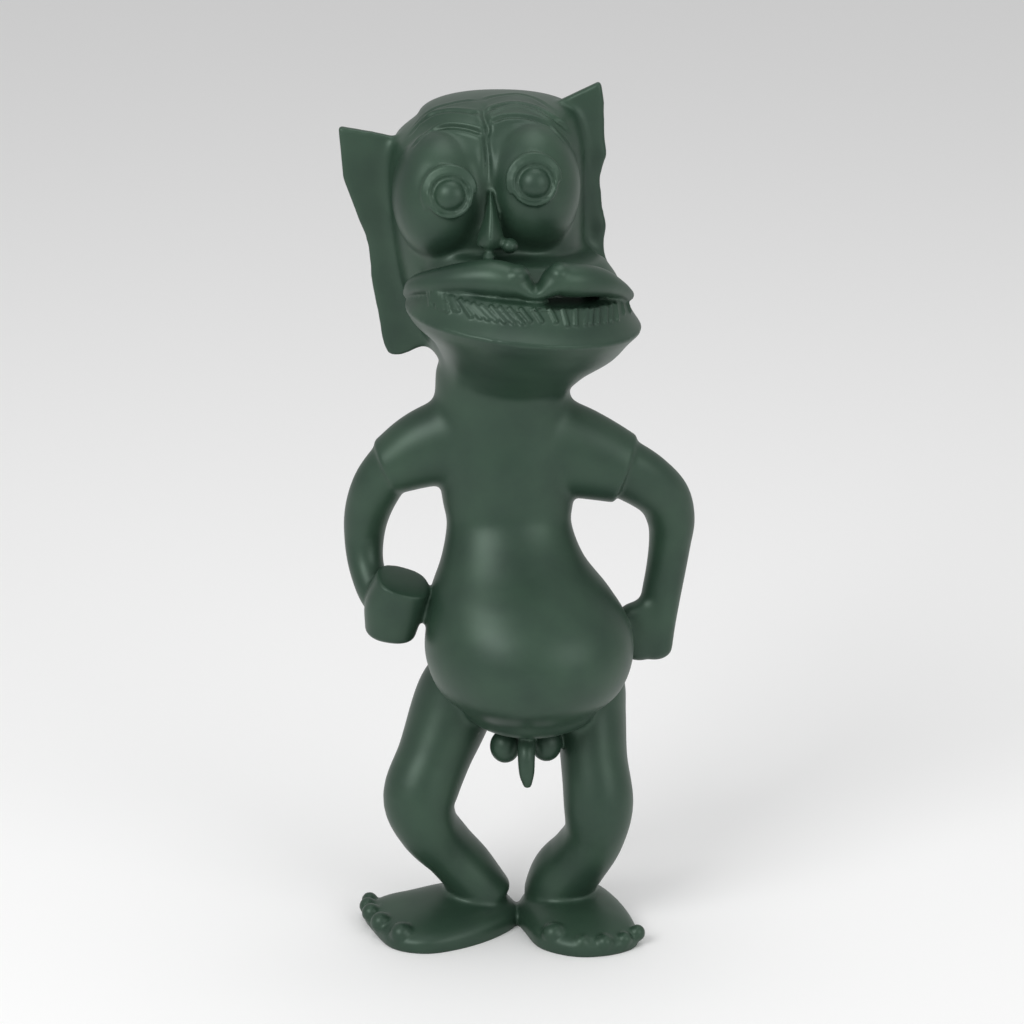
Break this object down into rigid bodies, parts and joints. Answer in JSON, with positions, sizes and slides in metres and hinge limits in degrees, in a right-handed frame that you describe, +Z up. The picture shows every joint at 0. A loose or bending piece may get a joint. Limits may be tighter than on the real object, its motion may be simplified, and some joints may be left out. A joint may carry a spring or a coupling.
{
  "type": "ancestor figure",
  "caption": "Standing cast-bronze ancestor figure with a monkey-like face, bulging ringed eyes, wide toothed mouth, pot belly, bent legs and a hollow fist, for display",
  "frame": {"origin": "middle of the bounding box at floor level, between the two feet", "axes": "+Z up, -Y the way the face and belly look, +X to the right of a viewer who faces the figure"},
  "size_m": [0.1223, 0.0935, 0.3002],
  "materials": {
    "bronze": "cast bronze with a dark green patina, satin, with ochre dust in the recesses"
  },
  "bodies": {
    "root": {"cast_figure": "bronze"}
  },
  "joints": []
}
